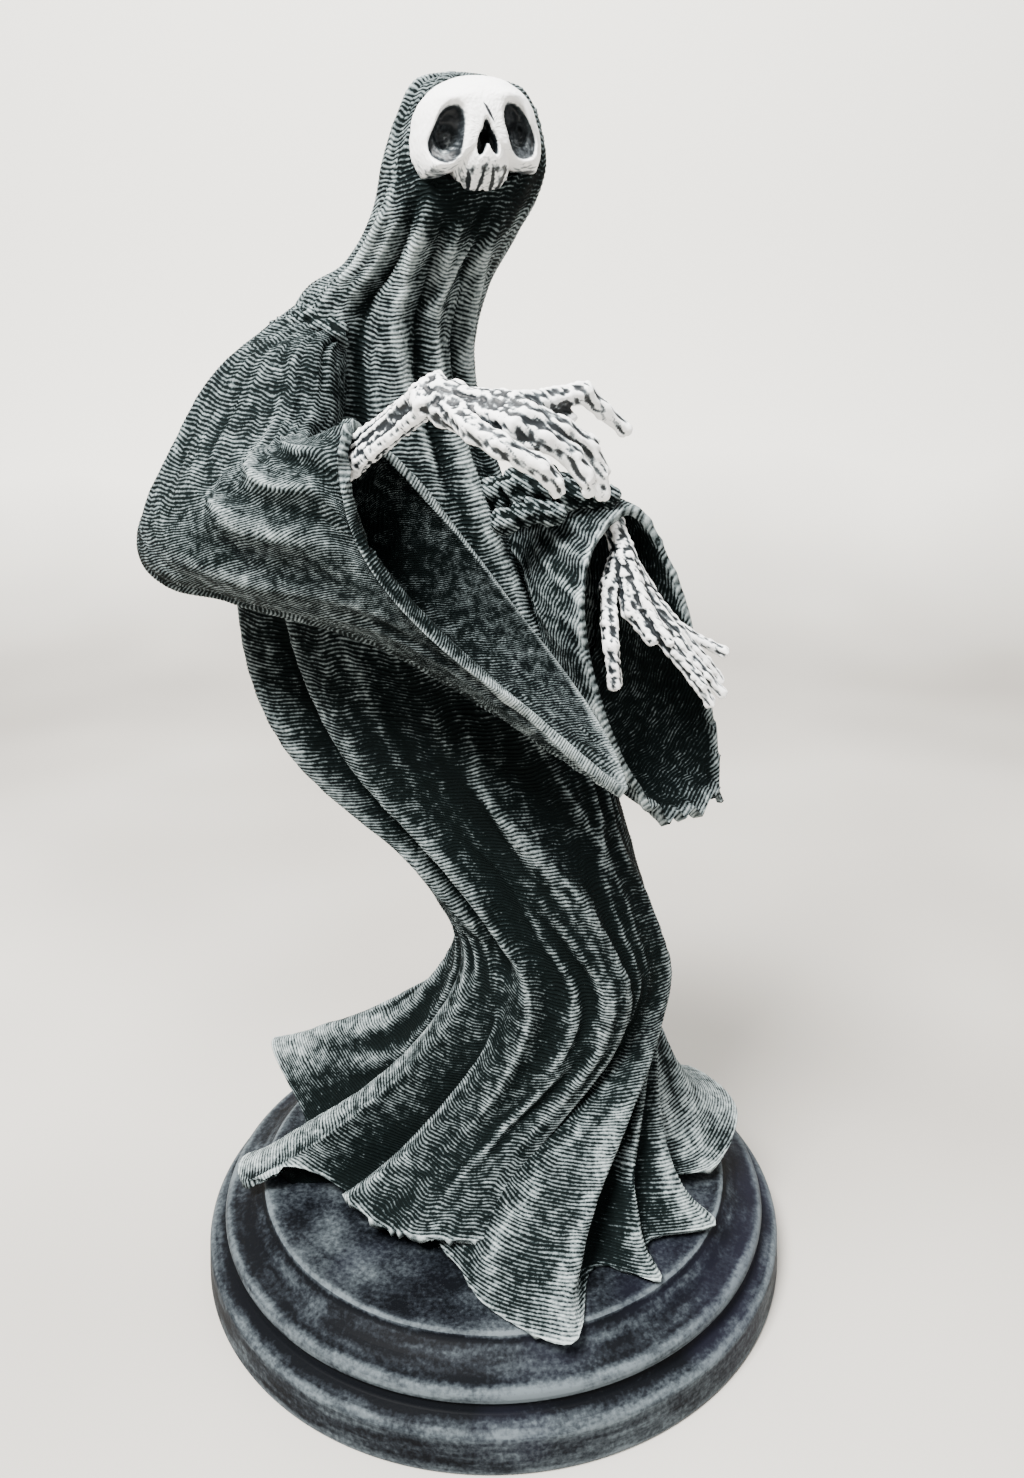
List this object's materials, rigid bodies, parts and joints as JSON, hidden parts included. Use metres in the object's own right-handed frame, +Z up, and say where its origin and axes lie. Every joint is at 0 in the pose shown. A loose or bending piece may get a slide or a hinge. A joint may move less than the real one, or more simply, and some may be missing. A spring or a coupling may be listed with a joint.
{
  "type": "wraith statue",
  "caption": "Hooded skull-faced wraith in a long twisting ribbed robe with wide hollow sleeves and bony hands, standing on a round moulded plinth.",
  "frame": {"origin": "centre of the plinth's underside, where it stands", "axes": "+X to the right as the figure is seen from the front, +Y to its back, +Z up"},
  "size_m": [0.16, 0.16, 0.291],
  "materials": {
    "plinth_paint": "satin",
    "dry_brushed_cloth": "matte",
    "bone_paint": "matte"
  },
  "bodies": {
    "root": {"plinth": "plinth_paint", "robed_figure": "dry_brushed_cloth"}
  },
  "joints": []
}
